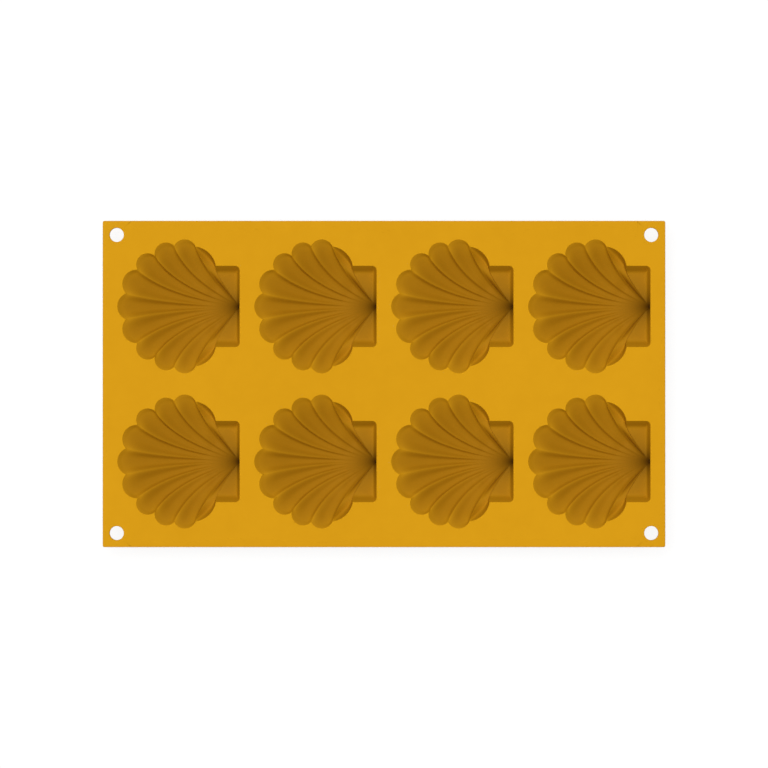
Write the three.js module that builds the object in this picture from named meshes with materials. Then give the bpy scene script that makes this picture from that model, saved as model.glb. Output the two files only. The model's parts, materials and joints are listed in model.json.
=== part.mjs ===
// Silicone mould with scallop-shell cups, open side up, standing on the feet of its cups.
// The sheet lies in X and Y, the columns run along X, and Z points up out of the cups.

import * as THREE from 'three';
import { mergeVertices } from 'three/addons/utils/BufferGeometryUtils.js';

// Array of cups, in millimetres. The sheet's size follows from the cups, the gaps and the margins.
const COLUMNS = ['a', 'b', 'c', 'd'];
const ROWS = ['front', 'back'];
const COLUMN_GAP = 8.1;
const ROW_GAP = 11.7;
const END_MARGIN = 8.05;
const SIDE_MARGIN = 10.15;

// Sheet
const SHEET_THICKNESS = 2.2;
const SHEET_CORNER_RADIUS = 1.0;
const HANG_HOLE_DIAMETER = 7.5;
const HANG_HOLE_INSET = 7.5;
const WEB_WIDTH = 3.0;

// Cup wall, its play in the sheet and its depth below the sheet's top
const WALL = 1.5;
const CUP_PLAY = 0.3;
const CAVITY_DEPTH = 16;
const EAR_DEPTH = 5;
const FOOT_FLAT = 1.4;

// Plan of one shell, seen from the hinge edge: along points to the fan's tip, across to the side.
// The lobes' tips lie on one circle, but for the two end lobes, which bulge out less.
const FAN_CENTRE = 29.4;
const FAN_RADIUS = 35.5;
const END_LOBE_BULGE = 2.5;
const EAR_LENGTH = 12.7;
const EAR_HALF_WIDTH = 21.5;
const EAR_CORNER_RADIUS = 2.2;

// Ridges between the lobes, on one side of the shell's axis, in degrees and millimetres.
// at is the notch's angle about the fan's centre, notch its depth below the circle of tips,
// and root the angle at which the ridge leaves the hinge point.
const RIDGES = [
  { at: 12.6, notch: 4, root: 3.2 },
  { at: 38.2, notch: 4.2, root: 10.7 },
  { at: 59.8, notch: 4.8, root: 19.3 },
  { at: 80.6, notch: 3.2, root: 31 },
  { at: 100.6, notch: 3.2, root: 46.5 },
];
const EAR_ROOT = 53.2;
const RIDGE_FLARE = 2.2;
const CALM_INSET = 2.6;

// Dome under the fan. It falls from its peak to the edge's depth, gently to the tips and steeply
// to the hinge edge. The turns are angles about the peak, in degrees from the tip's direction.
const DOME_PEAK = 20;
const EDGE_DEPTH = 0.8;
const FLOOR_POWER = 1.6;
const FAN_POWER = 1.2;
const HINGE_POWER = 0.55;
const FAN_TURN = 92;
const HINGE_TURN = 135;
const REACH_BLEND = 6;

// Ribs between the lobes: their height at the tips, their most share of the dome's depth, where
// they start between the hinge point and the tips, and their step from the lobe's middle to its edge
const RIB_RISE = 3.2;
const RIB_SHARE = 0.7;
const RIB_GROWTH = 1.3;
const RIB_START = 0.1;
const RIB_FULL = 0.32;
const RIB_LEAST = 0.12;
const RIB_FOOT = 0.4;
const RIB_LAND = 0.94;

// Walls at the outline, and the end lobes' shelves next to the ears
const EDGE_ROUND = 2;
const EDGE_SHARE = 0.9;
const EAR_SIDE_WALL = 3;
const EAR_HINGE_WALL = 1.45;
const SHELF_DEPTH = 6.2;
const SHELF_RUN = 8;
const SHELF_POWER = 3.5;

// Cone of the outside next to the hinge point, as shares of the way and the depth to the next ring,
// and the share of the fan's length up to which an end lobe is moved out as one strip
const HINGE_CONE_SHARE = 0.3;
const HINGE_CONE_SINK = 0.62;
const STRIP_SHARE = 0.85;

// Mesh steps. The rings from the hinge point to the outline are as many as the ear's edge points.
const LOBE_STEPS = 4;
const RING_SHARES = [0, 0.04, 0.12, 0.26, 0.4, 0.57, 0.77, 0.93, 1];
const EAR_STEPS = 2;
const HOLE_STEPS = 24;

const SHELL_LENGTH = FAN_CENTRE + FAN_RADIUS;
const SHELL_WIDTH = 2 * FAN_RADIUS;
const COLUMN_PITCH = SHELL_LENGTH + COLUMN_GAP;
const ROW_PITCH = SHELL_WIDTH + ROW_GAP;
const SHEET_LENGTH = COLUMNS.length * COLUMN_PITCH - COLUMN_GAP + 2 * END_MARGIN;
const SHEET_WIDTH = ROWS.length * ROW_PITCH - ROW_GAP + 2 * SIDE_MARGIN;
const SHEET_TOP = CAVITY_DEPTH + WALL;

const SILICONE = new THREE.MeshStandardMaterial({ color: 0xd99c18, roughness: 0.55, metalness: 0 });
SILICONE.name = 'silicone';

const columnX = (column) => (column - (COLUMNS.length - 1) / 2) * COLUMN_PITCH;
const rowY = (row) => (row - (ROWS.length - 1) / 2) * ROW_PITCH;
const hingeX = (column) => columnX(column) + SHELL_LENGTH / 2;
const webX = (web) => (columnX(web) + columnX(web + 1)) / 2;

// Edges of the lobes from one ear to the other: notch points and, at both ends, the ear's corner
// with the fan.
function lobeEdges() {
  const half = RIDGES.map(({ at, notch, root }) => {
    const angle = THREE.MathUtils.degToRad(at);
    const reach = FAN_RADIUS - notch;
    const point = new THREE.Vector2(FAN_CENTRE + reach * Math.cos(angle), reach * Math.sin(angle));
    return { point, root: THREE.MathUtils.degToRad(root) };
  });
  half.push({
    point: new THREE.Vector2(EAR_LENGTH, EAR_HALF_WIDTH),
    root: THREE.MathUtils.degToRad(EAR_ROOT),
  });
  const mirrored = half.map(({ point, root }) => (
    { point: new THREE.Vector2(point.x, -point.y), root: -root }
  ));
  return [...mirrored.reverse(), ...half];
}

function circleThrough(a, tip, b) {
  const chord = b.clone().sub(a);
  const rise = tip.clone().sub(a);
  const cross = 2 * chord.cross(rise);
  const centre = new THREE.Vector2(
    a.x + (rise.y * chord.lengthSq() - chord.y * rise.lengthSq()) / cross,
    a.y + (chord.x * rise.lengthSq() - rise.x * chord.lengthSq()) / cross,
  );
  return { centre, radius: centre.distanceTo(a) };
}

// Circle of each lobe's round end, over its two edges and a tip between them. The tip lies on the
// circle of tips, and on the end lobes a little outside the line to the ear's corner.
function lobeCircles() {
  const edges = lobeEdges();
  return edges.slice(1).map(({ point: b }, lobe) => {
    const a = edges[lobe].point;
    const isEnd = lobe === 0 || lobe === edges.length - 2;
    const outward = new THREE.Vector2(b.y - a.y, a.x - b.x).normalize();
    const onChord = a.clone().lerp(b, 0.5);
    const fromAngle = Math.atan2(a.y, a.x - FAN_CENTRE);
    const toAngle = Math.atan2(b.y, b.x - FAN_CENTRE);
    const middle = (fromAngle + toAngle) / 2;
    const onFan = new THREE.Vector2(
      FAN_CENTRE + FAN_RADIUS * Math.cos(middle),
      FAN_RADIUS * Math.sin(middle),
    );
    const tip = isEnd ? onChord.addScaledVector(outward, END_LOBE_BULGE) : onFan;
    return circleThrough(a, tip, b);
  });
}

// Notch between two neighbouring lobes that are both grown by offset.
function notchPoint(before, after, offset) {
  const reach = before.radius + offset;
  const axis = after.centre.clone().sub(before.centre);
  const distance = axis.length();
  const run = (distance ** 2 + reach ** 2 - (after.radius + offset) ** 2) / (2 * distance);
  axis.divideScalar(distance);
  const outward = new THREE.Vector2(axis.y, -axis.x);
  const rise = Math.sqrt(reach ** 2 - run ** 2);
  return before.centre.clone().addScaledVector(axis, run).addScaledVector(outward, rise);
}

// Corner of the ear's side with the end lobe, both grown by offset.
function earJoint(offset) {
  const { centre, radius } = lobeCircles().at(-1);
  const across = EAR_HALF_WIDTH + offset;
  const run = Math.sqrt((radius + offset) ** 2 - (across - centre.y) ** 2);
  return new THREE.Vector2(centre.x - run, across);
}

// Lines of the fan from the hinge point out to the outline, each with its place in its lobe and,
// on the end lobes, its share of the way from the last ridge to the ear.
// offset grows the plan outwards, everywhere by the same distance.
function fanLines(offset) {
  const roots = lobeEdges().map(({ root }) => root);
  const circles = lobeCircles();
  const joint = earJoint(offset);
  const notches = circles.slice(1).map((after, lobe) => notchPoint(circles[lobe], after, offset));
  const ends = [new THREE.Vector2(joint.x, -joint.y), ...notches, joint];
  const lines = [];
  circles.forEach(({ centre, radius }, lobe) => {
    const start = ends[lobe].clone().sub(centre).angle();
    let sweep = ends[lobe + 1].clone().sub(centre).angle() - start;
    sweep += sweep < 0 ? 2 * Math.PI : 0;
    const isLast = lobe === circles.length - 1;
    const last = isLast ? LOBE_STEPS : LOBE_STEPS - 1;
    for (let step = 0; step <= last; step += 1) {
      const share = step / LOBE_STEPS;
      const toLastEar = isLast ? share : 0;
      const toEar = lobe === 0 ? 1 - share : toLastEar;
      const angle = start + share * sweep;
      const spoke = new THREE.Vector2(Math.cos(angle), Math.sin(angle));
      const end = centre.clone().addScaledVector(spoke, radius + offset);
      const root = THREE.MathUtils.lerp(roots[lobe], roots[lobe + 1], share);
      lines.push({ end, share, toEar, root });
    }
  });
  return lines;
}

// Depth of the smooth dome without its ribs. The way out is measured on a ray from the peak to the
// circle of tips or to the hinge edge, whichever is nearer.
function domeDepth(along, across) {
  const run = along - DOME_PEAK;
  const turn = Math.atan2(Math.abs(across), run);
  const ahead = FAN_CENTRE - DOME_PEAK;
  const toTips = ahead * Math.cos(turn) + Math.sqrt(FAN_RADIUS ** 2 - (ahead * Math.sin(turn)) ** 2);
  const perHinge = Math.max(0, -Math.cos(turn)) / DOME_PEAK;
  const nearer = (toTips ** -REACH_BLEND + perHinge ** REACH_BLEND) ** (1 / REACH_BLEND);
  const out = Math.min(1, Math.hypot(run, across) * nearer);
  const back = THREE.MathUtils.smoothstep(THREE.MathUtils.radToDeg(turn), FAN_TURN, HINGE_TURN);
  const power = THREE.MathUtils.lerp(FAN_POWER, HINGE_POWER, back);
  return EDGE_DEPTH + (CAVITY_DEPTH - EDGE_DEPTH) * (1 - out ** FLOOR_POWER) ** power;
}

// Depth of an ear's flat floor with its sloping walls.
function earDepth(along, across) {
  const aside = EAR_HALF_WIDTH - Math.abs(across);
  const share = Math.min(along / EAR_HINGE_WALL, aside / EAR_SIDE_WALL);
  return EAR_DEPTH * THREE.MathUtils.clamp(share, 0, 1);
}

// Distance from the hinge point to a point of the fan on one line. The lobes' waves fade inwards
// into a plain circle a little inside the tips.
function fanReach(line, share) {
  const plain = FAN_RADIUS - CALM_INSET;
  const angle = Math.atan2(line.end.y, line.end.x);
  const offAxis = FAN_CENTRE * Math.sin(angle);
  const calm = FAN_CENTRE * Math.cos(angle) + Math.sqrt(plain * plain - offAxis * offAxis);
  return share * THREE.MathUtils.lerp(calm, line.end.length(), share * share);
}

// Place of a point in the plan, on one line of the fan at a share of its length.
function fanPlace(line, share) {
  const outer = Math.atan2(line.end.y, line.end.x);
  const angle = line.root + (outer - line.root) * share ** RIDGE_FLARE;
  const reach = fanReach(line, share);
  return new THREE.Vector2(reach * Math.cos(angle), reach * Math.sin(angle));
}

// Depth of the dome less its rib, before the walls at the outline.
function fanHollow(line, share, ribRise) {
  const { x, y } = fanPlace(line, share);
  const dome = domeDepth(x, y);
  const inner = 1 - Math.abs(line.root) / THREE.MathUtils.degToRad(EAR_ROOT);
  const begin = RIB_START * inner;
  const grown = THREE.MathUtils.smoothstep(share, begin, begin + RIB_FULL * inner + RIB_LEAST);
  const height = ribRise * grown * share ** RIB_GROWTH;
  const most = RIB_SHARE * dome;
  const lower = (height * most) / (height ** 4 + most ** 4) ** 0.25;
  const fromMiddle = Math.abs(2 * line.share - 1);
  return dome - lower * THREE.MathUtils.smoothstep(fromMiddle, RIB_FOOT, RIB_LAND);
}

// Depth of the end lobes' shelves where their seam with the ear is a way along from the hinge edge.
function shelfDepth(along) {
  const inEar = EAR_DEPTH * THREE.MathUtils.clamp(along / EAR_HINGE_WALL, 0, 1);
  return inEar + (SHELF_DEPTH - EAR_DEPTH) * THREE.MathUtils.clamp(along / SHELF_RUN, 0, 1);
}

// Point of the fan on one line at a share of its length. The end lobes rise from the last ridge,
// whose depth is crest, to their shelves next to the ears.
function fanPoint(line, share, ribRise, crest, shelf) {
  const place = fanPlace(line, share);
  const inEnd = THREE.MathUtils.lerp(shelf, crest, (1 - line.toEar) ** SHELF_POWER);
  const hollow = line.toEar > 0 ? inEnd : fanHollow(line, share, ribRise);
  const wall = THREE.MathUtils.lerp(Math.max(EDGE_ROUND, EDGE_SHARE * hollow), EAR_SIDE_WALL, line.toEar);
  const inset = THREE.MathUtils.clamp((line.end.length() - place.length()) / wall, 0, 1);
  const depth = share < 1 ? hollow * inset * (2 - inset) : 0;
  return new THREE.Vector3(place.x, place.y, -depth);
}

// Points along the ear's own edge, from the hinge point round its corner to the fan.
function earEdge(offset) {
  const back = -offset;
  const side = EAR_HALF_WIDTH + offset;
  const radius = EAR_CORNER_RADIUS + offset;
  const bend = radius * Math.SQRT1_2;
  const joint = earJoint(offset);
  return [
    new THREE.Vector2(back, 0),
    new THREE.Vector2(back, (side - radius) * 0.15),
    new THREE.Vector2(back, (side - radius) * 0.4),
    new THREE.Vector2(back, (side - radius) * 0.7),
    new THREE.Vector2(back, side - radius),
    new THREE.Vector2(back + radius - bend, side - radius + bend),
    new THREE.Vector2(back + radius, side),
    new THREE.Vector2((back + radius + joint.x) / 2, side),
    joint,
  ];
}

// The cavity's skin. fan[ring][line] runs from the hinge point to the outline,
// ears[side][ring][step] from the fan to the ear's edge.
function cavitySkin(ribRise) {
  const lines = fanLines(0);
  const edge = earEdge(0);
  const fan = RING_SHARES.map((share) => {
    const crest = fanHollow(lines[LOBE_STEPS], share, ribRise);
    const shelf = shelfDepth(fanPlace(lines[0], share).x);
    return lines.map((line) => fanPoint(line, share, ribRise, crest, shelf));
  });
  const ears = [-1, 1].map((side) => RING_SHARES.map((share, ring) => {
    const seam = fan[ring][side < 0 ? 0 : lines.length - 1];
    seam.z = -earDepth(seam.x, seam.y);
    const row = [seam];
    for (let step = 1; step <= EAR_STEPS; step += 1) {
      const part = 1 - (1 - step / EAR_STEPS) ** 2;
      const along = THREE.MathUtils.lerp(seam.x, edge[ring].x, part);
      const across = THREE.MathUtils.lerp(seam.y, side * edge[ring].y, part);
      const depth = step === EAR_STEPS ? 0 : earDepth(along, across);
      row.push(new THREE.Vector3(along, across, -depth));
    }
    return row;
  }));
  return { fan, ears };
}

// A point moved out of the cavity by the wall, square to the skin that its neighbours span.
function movedOut(point, before, after, left, right) {
  const normal = after.clone().sub(before).cross(right.clone().sub(left)).normalize();
  const moved = point.clone().addScaledVector(normal, normal.z < 0 ? WALL : -WALL);
  const foot = -(CAVITY_DEPTH + WALL);
  if (moved.z < foot + FOOT_FLAT) {
    moved.z = foot;
  }
  return moved;
}

// A point of the outside next to the hinge point, on a cone to the next ring that stays below the
// cavity's own ring there.
function nearHinge(hinge, next, inside) {
  const point = hinge.clone().lerp(next, HINGE_CONE_SHARE);
  point.z = Math.min(HINGE_CONE_SINK * next.z, inside.z - WALL / 2);
  return point;
}

// The neighbours on both sides of a point of the fan. Near the hinge an end lobe with its ridge is
// taken as one strip up to the ear, because its steep lines lie close together there.
function sideNeighbours({ fan, ears }, ring, line) {
  const strip = RING_SHARES[ring] < STRIP_SHARE ? LOBE_STEPS : 0;
  const last = fan[ring].length - 1;
  if (line <= strip) {
    return [ears[0][ring][1], fan[ring][strip + 1]];
  }
  if (line >= last - strip) {
    return [fan[ring][last - strip - 1], ears[1][ring][1]];
  }
  return [fan[ring][line - 1], fan[ring][line + 1]];
}

// The cup's outside: the cavity moved out by the wall, with the rim moved level. The direction
// comes from the skin without ribs, so the ribs show outside as they do inside.
function outsideSkin() {
  const { fan, ears } = cavitySkin(RIB_RISE);
  const plain = cavitySkin(0);
  const rim = fanLines(WALL).map(({ end }) => new THREE.Vector3(end.x, end.y, 0));
  const edge = earEdge(WALL);
  const last = RING_SHARES.length - 1;
  const end = rim.length - 1;
  const hinge = new THREE.Vector3(-WALL, 0, 0);
  const outFan = fan.map((points, ring) => points.map((point, line) => {
    if (ring === 0) {
      return hinge;
    }
    if (ring === last) {
      return rim[line];
    }
    const [left, right] = sideNeighbours(plain, ring, line);
    return movedOut(point, plain.fan[ring - 1][line], plain.fan[ring + 1][line], left, right);
  }));
  outFan[1] = outFan[2].map((next, line) => nearHinge(hinge, next, fan[1][line]));
  const outEars = ears.map((rows, index) => rows.map((row, ring) => row.map((point, step) => {
    if (step === 0 || ring === 0 || ring === last) {
      return outFan[ring][index === 0 ? 0 : end];
    }
    if (step === EAR_STEPS) {
      return new THREE.Vector3(edge[ring].x, (index === 0 ? -1 : 1) * edge[ring].y, 0);
    }
    const below = plain.ears[index][ring - 1][step];
    const above = plain.ears[index][ring + 1][step];
    return movedOut(point, below, above, row[step - 1], row[step + 1]);
  })));
  outEars.forEach((rows, index) => {
    for (let step = 1; step < EAR_STEPS; step += 1) {
      rows[1][step] = nearHinge(hinge, rows[2][step], ears[index][1][step]);
    }
  });
  return { fan: outFan, ears: outEars };
}

// Closed loop of the shell's outline in the sheet's top plane, grown by offset.
function rimLoop(offset) {
  const edge = earEdge(offset);
  const upper = edge.slice(1, -1);
  const lower = upper.map(({ x, y }) => new THREE.Vector2(x, -y));
  return [...fanLines(offset).map(({ end }) => end), ...upper.reverse(), edge[0], ...lower];
}

function pushTriangle(list, a, b, c) {
  const isFlat = a.equals(b) || b.equals(c) || c.equals(a);
  if (!isFlat) {
    list.push(a.x, a.y, a.z, b.x, b.y, b.z, c.x, c.y, c.z);
  }
}

function pushGrid(list, rows, turned) {
  for (let row = 0; row + 1 < rows.length; row += 1) {
    for (let step = 0; step + 1 < rows[row].length; step += 1) {
      const a = rows[row][step];
      const b = rows[row + 1][step];
      const c = rows[row + 1][step + 1];
      const d = rows[row][step + 1];
      if (turned) {
        pushTriangle(list, a, c, b);
        pushTriangle(list, a, d, c);
      } else {
        pushTriangle(list, a, b, c);
        pushTriangle(list, a, c, d);
      }
    }
  }
}

// Closed solid of one cup, its hinge point at the origin and its rim in the plane z = 0.
function cupGeometry() {
  const inner = cavitySkin(RIB_RISE);
  const outer = outsideSkin();
  const list = [];
  pushGrid(list, inner.fan, false);
  pushGrid(list, inner.ears[1], false);
  pushGrid(list, inner.ears[0], true);
  pushGrid(list, outer.fan, true);
  pushGrid(list, outer.ears[1], true);
  pushGrid(list, outer.ears[0], false);
  const innerRim = rimLoop(0).map(({ x, y }) => new THREE.Vector3(x, y, 0));
  const outerRim = rimLoop(WALL).map(({ x, y }) => new THREE.Vector3(x, y, 0));
  innerRim.forEach((point, index) => {
    const next = (index + 1) % innerRim.length;
    pushTriangle(list, point, outerRim[index], outerRim[next]);
    pushTriangle(list, point, outerRim[next], innerRim[next]);
  });
  const geometry = new THREE.BufferGeometry();
  geometry.setAttribute('position', new THREE.Float32BufferAttribute(list, 3));
  const welded = mergeVertices(geometry, 1e-4);
  welded.computeVertexNormals();
  return welded;
}

function holePath(x, y) {
  const path = new THREE.Path();
  path.absarc(x, y, HANG_HOLE_DIAMETER / 2, 0, 2 * Math.PI, true);
  return new THREE.Path(path.getPoints(HOLE_STEPS).slice(0, -1));
}

// Flat panel of one column with its cup openings and, at the sheet's ends, its hanging holes.
function panelGeometry(column) {
  const isFirst = column === 0;
  const isLast = column === COLUMNS.length - 1;
  const left = isFirst ? -SHEET_LENGTH / 2 : webX(column - 1) + WEB_WIDTH / 2;
  const right = isLast ? SHEET_LENGTH / 2 : webX(column) - WEB_WIDTH / 2;
  const side = SHEET_WIDTH / 2;
  const leftRound = isFirst ? SHEET_CORNER_RADIUS : 0;
  const rightRound = isLast ? SHEET_CORNER_RADIUS : 0;
  const outline = [
    new THREE.Vector2(left + leftRound, -side),
    new THREE.Vector2(right - rightRound, -side),
    new THREE.Vector2(right, -side + rightRound),
    new THREE.Vector2(right, side - rightRound),
    new THREE.Vector2(right - rightRound, side),
    new THREE.Vector2(left + leftRound, side),
    new THREE.Vector2(left, side - leftRound),
    new THREE.Vector2(left, -side + leftRound),
  ];
  const corners = outline.filter((point, index) => index === 0 || !point.equals(outline[index - 1]));
  const shape = new THREE.Shape(corners);
  const opening = rimLoop(WALL + CUP_PLAY);
  ROWS.forEach((row, index) => {
    const points = opening.map(({ x, y }) => new THREE.Vector2(hingeX(column) - x, rowY(index) - y));
    shape.holes.push(new THREE.Path(points));
  });
  const holeX = SHEET_LENGTH / 2 - HANG_HOLE_INSET;
  const holeY = side - HANG_HOLE_INSET;
  const holeAt = (x) => [-holeY, holeY].forEach((y) => shape.holes.push(holePath(x, y)));
  if (isFirst) {
    holeAt(-holeX);
  }
  if (isLast) {
    holeAt(holeX);
  }
  return new THREE.ExtrudeGeometry(shape, { depth: SHEET_THICKNESS, bevelEnabled: false });
}

function namedMesh(name, geometry) {
  const mesh = new THREE.Mesh(geometry, SILICONE);
  mesh.name = name;
  return mesh;
}

const group = new THREE.Group();
group.name = 'shell_mould';

COLUMNS.forEach((letter, column) => {
  const panel = namedMesh(`sheet_panel_${letter}`, panelGeometry(column));
  panel.position.z = SHEET_TOP - SHEET_THICKNESS;
  group.add(panel);
  ROWS.forEach((row, index) => {
    const cup = namedMesh(`shell_cup_${letter}_${row}`, cupGeometry());
    cup.rotation.z = Math.PI;
    cup.position.set(hingeX(column), rowY(index), SHEET_TOP);
    group.add(cup);
  });
});

COLUMNS.slice(1).forEach((letter, web) => {
  const strip = new THREE.BoxGeometry(WEB_WIDTH, SHEET_WIDTH, SHEET_THICKNESS);
  const mesh = namedMesh(`flex_web_${COLUMNS[web]}${letter}`, strip);
  mesh.position.set(webX(web), 0, SHEET_TOP - SHEET_THICKNESS / 2);
  group.add(mesh);
});

export default group;
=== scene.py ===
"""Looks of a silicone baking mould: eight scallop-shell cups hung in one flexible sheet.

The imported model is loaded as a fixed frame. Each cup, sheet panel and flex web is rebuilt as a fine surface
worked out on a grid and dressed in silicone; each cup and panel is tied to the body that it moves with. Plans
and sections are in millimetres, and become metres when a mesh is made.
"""

from __future__ import annotations

import json
import logging
import math
from dataclasses import dataclass, field
from enum import Enum
from typing import Any

import bpy
import numpy as np
from numpy.typing import NDArray
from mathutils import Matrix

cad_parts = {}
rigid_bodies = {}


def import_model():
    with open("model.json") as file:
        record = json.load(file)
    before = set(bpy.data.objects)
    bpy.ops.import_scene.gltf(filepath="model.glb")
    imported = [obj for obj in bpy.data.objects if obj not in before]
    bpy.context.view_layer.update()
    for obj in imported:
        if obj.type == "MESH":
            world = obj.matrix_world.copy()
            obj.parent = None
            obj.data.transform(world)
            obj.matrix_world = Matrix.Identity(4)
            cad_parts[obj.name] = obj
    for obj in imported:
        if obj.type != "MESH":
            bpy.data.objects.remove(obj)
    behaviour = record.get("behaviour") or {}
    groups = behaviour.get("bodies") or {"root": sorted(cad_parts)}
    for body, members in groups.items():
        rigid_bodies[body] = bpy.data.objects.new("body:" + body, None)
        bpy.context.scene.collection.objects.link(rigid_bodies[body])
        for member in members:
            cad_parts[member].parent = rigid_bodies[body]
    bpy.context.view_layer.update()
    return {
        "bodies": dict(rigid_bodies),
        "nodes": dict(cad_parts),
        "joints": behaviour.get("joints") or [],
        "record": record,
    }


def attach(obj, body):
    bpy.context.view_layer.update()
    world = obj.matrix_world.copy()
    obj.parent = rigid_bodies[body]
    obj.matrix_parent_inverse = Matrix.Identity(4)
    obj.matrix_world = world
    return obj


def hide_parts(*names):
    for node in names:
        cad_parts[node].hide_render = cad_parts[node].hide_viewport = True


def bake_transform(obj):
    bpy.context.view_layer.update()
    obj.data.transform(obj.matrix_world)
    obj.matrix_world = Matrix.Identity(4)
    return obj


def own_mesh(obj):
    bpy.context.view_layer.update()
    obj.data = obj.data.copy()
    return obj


Array = NDArray[np.float64]
Index = NDArray[np.int64]
Colour = tuple[float, float, float]

LOG = logging.getLogger("shell_mould")
MM = 0.001
WELD = 1e-4
CREASE = math.radians(48.0)
POLISH = "polish"
# Attribute that carries the painted shade in the hinge corner.
PAINTED_SHADE = "shade"
MIRROR = np.array([1.0, -1.0, 1.0])

# Tolerances: off zero in a division, along a side, and between places in millimetres
TINY = 1e-12
SLACK = 1e-9
NEAR = 1e-6


class Row(Enum):
    """The two rows of cups, with the side of the sheet's long middle line that each lies on."""

    FRONT = -1
    BACK = 1


class Wrap(Enum):
    """Directions in which a grid closes on itself: over its rows and over its columns."""

    OPEN = (False, False)
    AROUND = (False, True)
    BOTH = (True, True)


def unit(vectors: Array) -> Array:
    """Vectors divided by their lengths, along the last axis."""
    return vectors / np.maximum(np.linalg.norm(vectors, axis=-1, keepdims=True), TINY)


def slope_to_floor(share: Array, bend: float) -> Array:
    """Straight slope from 0 at share 0 to 1 at share 1, with a round foot from 1 - bend to 1 + bend."""
    foot = np.clip(share - 1.0 + bend, 0.0, 2.0 * bend)
    return np.clip(share, 0.0, 1.0 + bend) - foot**2 / (4.0 * bend)


def eased(share: Array) -> Array:
    """Smooth step: 0 up to share 0, 1 from share 1 on, and level at both."""
    held = np.clip(share, 0.0, 1.0)
    return held**2 * (3.0 - 2.0 * held)


def cross_2d(a: Array, b: Array) -> Array:
    """Cross product of plan vectors, along the last axis."""
    return a[..., 0] * b[..., 1] - a[..., 1] * b[..., 0]


@dataclass(frozen=True)
class Shape:
    """Welded points in millimetres, the faces between them, and each point's polish and painted shade."""

    points: Array
    quads: Index
    triangles: Index
    marks: Array

    def piece(self, name: str, shift: tuple[float, float, float]) -> bpy.types.Object:
        """Makes a mesh object at the origin, with its place in its mesh.

        Args:
            name: Name of the object.
            shift: Where the shape's own origin goes, in millimetres.

        Returns:
            The new object, smooth with sharp creases.
        """
        mesh = bpy.data.meshes.new(name)
        places = (self.points + np.array(shift)) * MM
        mesh.from_pydata(places.tolist(), [], self.quads.tolist() + self.triangles.tolist())
        mesh.polygons.foreach_set("use_smooth", np.ones(len(mesh.polygons), dtype=bool))
        mesh.set_sharp_from_angle(angle=CREASE)
        for number, title in enumerate((POLISH, PAINTED_SHADE)):
            layer = mesh.attributes.new(title, "FLOAT", "POINT")
            layer.data.foreach_set("value", self.marks[:, number].astype(np.float32))
        mesh.update()
        made = bpy.data.objects.new(name, mesh)
        bpy.context.scene.collection.objects.link(made)
        return made


@dataclass
class Surface:
    """Grids of points, gathered until they are welded into one shape."""

    points: list[Array] = field(default_factory=list)
    quads: list[Index] = field(default_factory=list)
    marks: list[Array] = field(default_factory=list)
    count: int = 0

    def add(
        self,
        grid: Array,
        wrap: Wrap = Wrap.OPEN,
        turned: bool = False,
        polish: Array | float = 0.0,
        shade: Array | float = 0.0,
        dropped: NDArray[np.bool_] | None = None,
    ) -> None:
        """Adds a grid of points, with a face between each four neighbours.

        A face's normal is the cross product of the step to the next row and the step to the next column.

        Args:
            grid: Points as rows, columns and coordinates.
            wrap: Directions in which the grid closes on itself.
            turned: Whether the faces look the other way.
            polish: How polished the points are, one number or one for each row and column.
            shade: Painted shade, how far their colour is darkened towards the hinge corner's near-black,
                likewise.
            dropped: Faces to leave out, as rows and columns.
        """
        rows, columns = grid.shape[:2]
        number = np.arange(rows * columns).reshape(rows, columns) + self.count
        over_rows, over_columns = wrap.value
        number = np.concatenate([number, number[:1]], axis=0) if over_rows else number
        number = np.concatenate([number, number[:, :1]], axis=1) if over_columns else number
        corners = [number[:-1, :-1], number[1:, :-1], number[1:, 1:], number[:-1, 1:]]
        faces = np.stack(corners, axis=-1)
        faces = faces.reshape(-1, 4) if dropped is None else faces[~dropped]
        self.points.append(grid.reshape(-1, 3))
        self.quads.append(faces[:, ::-1] if turned else faces)
        marks = [np.broadcast_to(mark, (rows, columns)).reshape(-1) for mark in (polish, shade)]
        self.marks.append(np.stack(marks, axis=-1))
        self.count += rows * columns

    def take_in(self, other: Surface, mirrored: bool) -> None:
        """Adds another surface, as it is or mirrored across the sheet's long middle line.

        Args:
            other: The surface to add.
            mirrored: Whether it is mirrored, with its faces turned so that they still look outwards.
        """
        self.points += [points * MIRROR if mirrored else points for points in other.points]
        self.quads += [(quads[:, ::-1] if mirrored else quads) + self.count for quads in other.quads]
        self.marks += other.marks
        self.count += other.count

    def shape(self) -> Shape:
        """Welds equal points and turns faces that lost a corner into triangles.

        Returns:
            The welded shape.
        """
        points = np.concatenate(self.points)
        keys = np.round(points / WELD).astype(np.int64)
        _, first, inverse = np.unique(keys, axis=0, return_index=True, return_inverse=True)
        faces = inverse.reshape(-1)[np.concatenate(self.quads)]
        repeats = faces == np.roll(faces, -1, axis=1)
        lost = repeats.sum(axis=1)
        kept = faces[lost == 0]
        cut = faces[lost == 1]
        triangles = cut[~repeats[lost == 1]].reshape(-1, 3)
        crossed = (kept[:, 0] == kept[:, 2]) | (kept[:, 1] == kept[:, 3])
        flat = triangles[:, 0] == triangles[:, 2]
        marks = np.concatenate(self.marks)[first]
        return Shape(points[first], kept[~crossed], triangles[~flat], marks)


@dataclass(frozen=True)
class Ridge:
    """One ridge between two lobes, on one side of the shell's axis, in degrees and millimetres.

    at is the notch's angle about the fan's centre, notch its depth below the circle of tips, and root the
    angle at which the ridge leaves the hinge point.
    """

    at: float
    notch: float
    root: float


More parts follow.
